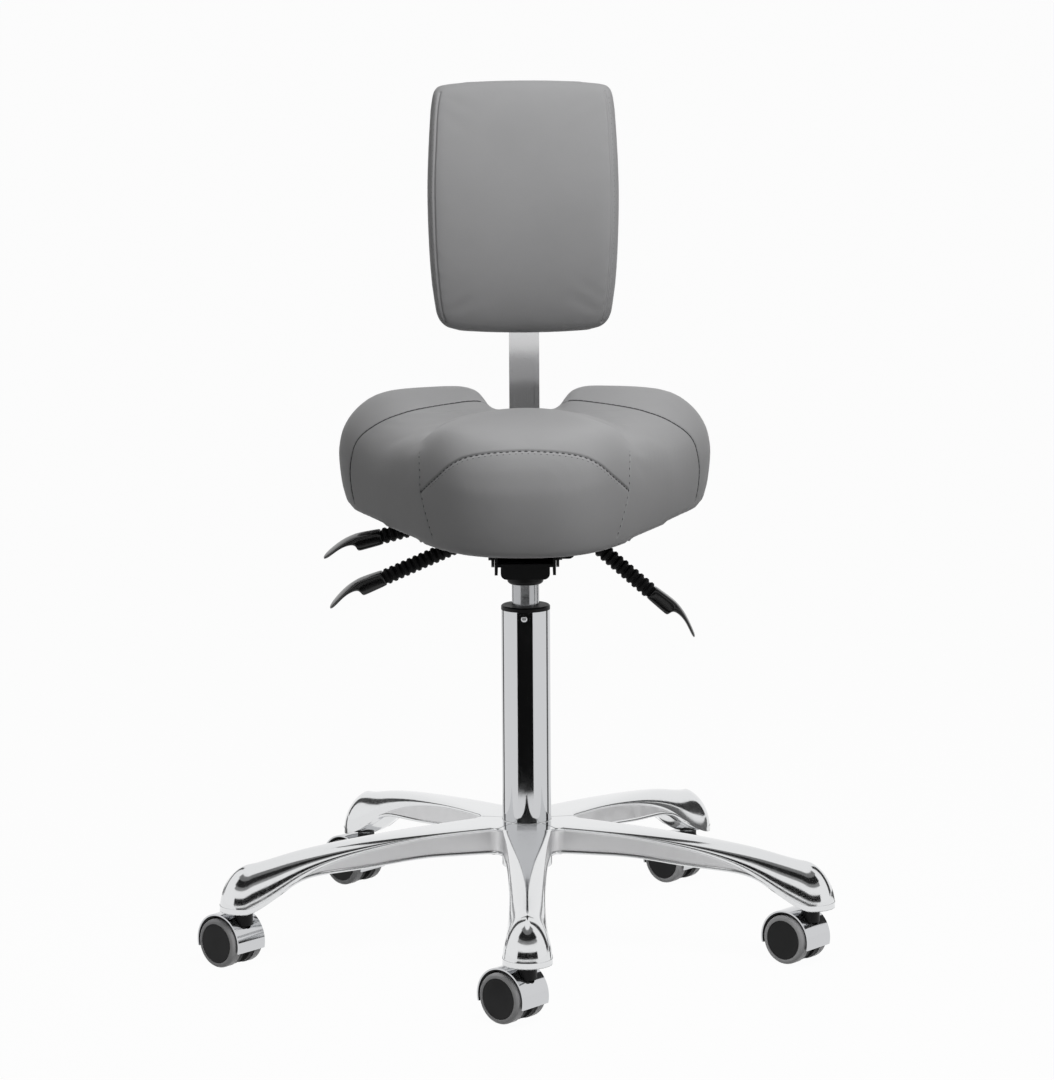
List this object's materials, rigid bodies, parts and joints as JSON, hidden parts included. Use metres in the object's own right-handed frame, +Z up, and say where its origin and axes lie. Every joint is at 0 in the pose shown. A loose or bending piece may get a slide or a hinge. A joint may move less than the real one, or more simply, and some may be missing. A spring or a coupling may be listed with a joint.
{
  "type": "podiatry stool",
  "caption": "Saddle-seat podiatry stool with a small backrest, lever-operated tilt mechanism, gas lift and star base on hooded casters.",
  "frame": {"origin": "on the column's axis, on the floor under the wheels, with the gas lift at its lowest", "axes": "+Z up along the column; the sitter faces -Y, so the nose of the saddle points to -Y and the backrest stands at +Y; +X is to the sitter's left"},
  "size_m": [0.6439, 0.6129, 0.8781],
  "materials": {
    "polished_cast_aluminium": "mirror polished above, brushed in the side recesses",
    "chromed_steel": "bright chrome",
    "zinc_plated_steel": "satin zinc",
    "black_painted_steel": "satin black powder coat",
    "black_nylon": "moulded, semi-matt",
    "wheel_nylon": "moulded, matt",
    "black_rubber": "matt, ribbed",
    "grey_polyurethane": "soft, matt",
    "grey_vinyl": "fine-grained upholstery vinyl over foam, semi-matt",
    "birch_plywood": "covered with black felt below"
  },
  "bodies": {
    "base": {"star_base": "polished_cast_aluminium", "column_tube": "chromed_steel", "guide_bush": "black_nylon"},
    "caster_1": {"caster_1_hood": "chromed_steel", "caster_1_core": "black_nylon", "caster_1_pins": "zinc_plated_steel"},
    "caster_1_left_wheel": {"caster_1_left_hub": "wheel_nylon", "caster_1_left_tread": "grey_polyurethane"},
    "caster_1_right_wheel": {"caster_1_right_hub": "wheel_nylon", "caster_1_right_tread": "grey_polyurethane"},
    "caster_2": {"caster_2_hood": "chromed_steel", "caster_2_core": "black_nylon", "caster_2_pins": "zinc_plated_steel"},
    "caster_2_left_wheel": {"caster_2_left_hub": "wheel_nylon", "caster_2_left_tread": "grey_polyurethane"},
    "caster_2_right_wheel": {"caster_2_right_hub": "wheel_nylon", "caster_2_right_tread": "grey_polyurethane"},
    "caster_3": {"caster_3_hood": "chromed_steel", "caster_3_core": "black_nylon", "caster_3_pins": "zinc_plated_steel"},
    "caster_3_left_wheel": {"caster_3_left_hub": "wheel_nylon", "caster_3_left_tread": "grey_polyurethane"},
    "caster_3_right_wheel": {"caster_3_right_hub": "wheel_nylon", "caster_3_right_tread": "grey_polyurethane"},
    "caster_4": {"caster_4_hood": "chromed_steel", "caster_4_core": "black_nylon", "caster_4_pins": "zinc_plated_steel"},
    "caster_4_left_wheel": {"caster_4_left_hub": "wheel_nylon", "caster_4_left_tread": "grey_polyurethane"},
    "caster_4_right_wheel": {"caster_4_right_hub": "wheel_nylon", "caster_4_right_tread": "grey_polyurethane"},
    "caster_5": {"caster_5_hood": "chromed_steel", "caster_5_core": "black_nylon", "caster_5_pins": "zinc_plated_steel"},
    "caster_5_left_wheel": {"caster_5_left_hub": "wheel_nylon", "caster_5_left_tread": "grey_polyurethane"},
    "caster_5_right_wheel": {"caster_5_right_hub": "wheel_nylon", "caster_5_right_tread": "grey_polyurethane"},
    "lift_rod": {"lift_rod": "zinc_plated_steel"},
    "mechanism": {"gas_cylinder": "chromed_steel", "mechanism_housing": "black_painted_steel"},
    "seat": {"seat_plate": "black_painted_steel", "seat_board": "birch_plywood", "seat_cushion": "grey_vinyl", "seat_screws": "zinc_plated_steel"},
    "back_frame": {"back_bracket": "black_painted_steel", "back_bar": "chromed_steel"},
    "backrest": {"back_slider": "black_painted_steel", "back_board": "birch_plywood", "back_cushion": "grey_vinyl"},
    "lock_knob": {"lock_knob": "black_nylon"},
    "height_lever": {"height_lever_rod": "zinc_plated_steel", "height_lever_sleeve": "black_rubber", "height_lever_paddle": "black_nylon"},
    "seat_lever": {"seat_lever_rod": "zinc_plated_steel", "seat_lever_sleeve": "black_rubber", "seat_lever_paddle": "black_nylon"},
    "back_lever": {"back_lever_rod": "zinc_plated_steel", "back_lever_sleeve": "black_rubber", "back_lever_paddle": "black_nylon"}
  },
  "joints": [
    {"name": "caster_1_swivel", "type": "hinge", "parent": "base", "child": "caster_1", "pos_m": [0, -0.3, 0.05], "axis": [0, 0, 1], "continuous": true},
    {"name": "caster_1_left_roll", "type": "hinge", "parent": "caster_1", "child": "caster_1_left_wheel", "pos_m": [-0.01434, -0.28753, 0.025], "axis": [-0.6561, -0.7547, 0], "continuous": true},
    {"name": "caster_1_right_roll", "type": "hinge", "parent": "caster_1", "child": "caster_1_right_wheel", "pos_m": [-0.01434, -0.28753, 0.025], "axis": [-0.6561, -0.7547, 0], "continuous": true},
    {"name": "caster_2_swivel", "type": "hinge", "parent": "base", "child": "caster_2", "pos_m": [0.28532, -0.0927, 0.05], "axis": [0, 0, 1], "continuous": true},
    {"name": "caster_2_left_roll", "type": "hinge", "parent": "caster_2", "child": "caster_2_left_wheel", "pos_m": [0.27098, -0.08024, 0.025], "axis": [-0.6561, -0.7547, 0], "continuous": true},
    {"name": "caster_2_right_roll", "type": "hinge", "parent": "caster_2", "child": "caster_2_right_wheel", "pos_m": [0.27098, -0.08024, 0.025], "axis": [-0.6561, -0.7547, 0], "continuous": true},
    {"name": "caster_3_swivel", "type": "hinge", "parent": "base", "child": "caster_3", "pos_m": [0.17634, 0.24271, 0.05], "axis": [0, 0, 1], "continuous": true},
    {"name": "caster_3_left_roll", "type": "hinge", "parent": "caster_3", "child": "caster_3_left_wheel", "pos_m": [0.162, 0.25517, 0.025], "axis": [-0.6561, -0.7547, 0], "continuous": true},
    {"name": "caster_3_right_roll", "type": "hinge", "parent": "caster_3", "child": "caster_3_right_wheel", "pos_m": [0.162, 0.25517, 0.025], "axis": [-0.6561, -0.7547, 0], "continuous": true},
    {"name": "caster_4_swivel", "type": "hinge", "parent": "base", "child": "caster_4", "pos_m": [-0.17634, 0.24271, 0.05], "axis": [0, 0, 1], "continuous": true},
    {"name": "caster_4_left_roll", "type": "hinge", "parent": "caster_4", "child": "caster_4_left_wheel", "pos_m": [-0.19068, 0.25517, 0.025], "axis": [-0.6561, -0.7547, 0], "continuous": true},
    {"name": "caster_4_right_roll", "type": "hinge", "parent": "caster_4", "child": "caster_4_right_wheel", "pos_m": [-0.19068, 0.25517, 0.025], "axis": [-0.6561, -0.7547, 0], "continuous": true},
    {"name": "caster_5_swivel", "type": "hinge", "parent": "base", "child": "caster_5", "pos_m": [-0.28532, -0.0927, 0.05], "axis": [0, 0, 1], "continuous": true},
    {"name": "caster_5_left_roll", "type": "hinge", "parent": "caster_5", "child": "caster_5_left_wheel", "pos_m": [-0.29966, -0.08024, 0.025], "axis": [-0.6561, -0.7547, 0], "continuous": true},
    {"name": "caster_5_right_roll", "type": "hinge", "parent": "caster_5", "child": "caster_5_right_wheel", "pos_m": [-0.29966, -0.08024, 0.025], "axis": [-0.6561, -0.7547, 0], "continuous": true},
    {"name": "seat_swivel", "type": "hinge", "parent": "base", "child": "lift_rod", "pos_m": [0, 0, 0.09], "axis": [0, 0, 1], "continuous": true},
    {"name": "lift", "type": "slide", "parent": "lift_rod", "child": "mechanism", "axis": [0, 0, 1], "range_m": [0, 0.14]},
    {"name": "seat_tilt", "type": "hinge", "parent": "mechanism", "child": "seat", "pos_m": [0, -0.055, 0.4126], "axis": [1, 0, 0], "range_deg": [-3, 12]},
    {"name": "back_tilt", "type": "hinge", "parent": "mechanism", "child": "back_frame", "pos_m": [0, 0.062, 0.4126], "axis": [1, 0, 0], "range_deg": [-15, 5]},
    {"name": "back_height", "type": "slide", "parent": "back_frame", "child": "backrest", "axis": [0, 0, 1], "range_m": [-0.02, 0.06]},
    {"name": "knob_turn", "type": "hinge", "parent": "backrest", "child": "lock_knob", "pos_m": [0, 0.21, 0.725], "axis": [0, 1, 0], "range_deg": [0, 360]},
    {"name": "height_lever_lift", "type": "hinge", "parent": "mechanism", "child": "height_lever", "pos_m": [-0.0435, 0, 0.4126], "axis": [0, 1, 0], "range_deg": [0, 8], "stiffness_Nm_per_rad": 1},
    {"name": "back_lever_turn", "type": "hinge", "parent": "mechanism", "child": "back_lever", "pos_m": [-0.0435, 0.035, 0.4126], "axis": [0, 1, 0], "range_deg": [-8, 0]},
    {"name": "seat_lever_turn", "type": "hinge", "parent": "mechanism", "child": "seat_lever", "pos_m": [0.0435, -0.03, 0.4126], "axis": [0, -1, 0], "range_deg": [-6, 8]}
  ]
}
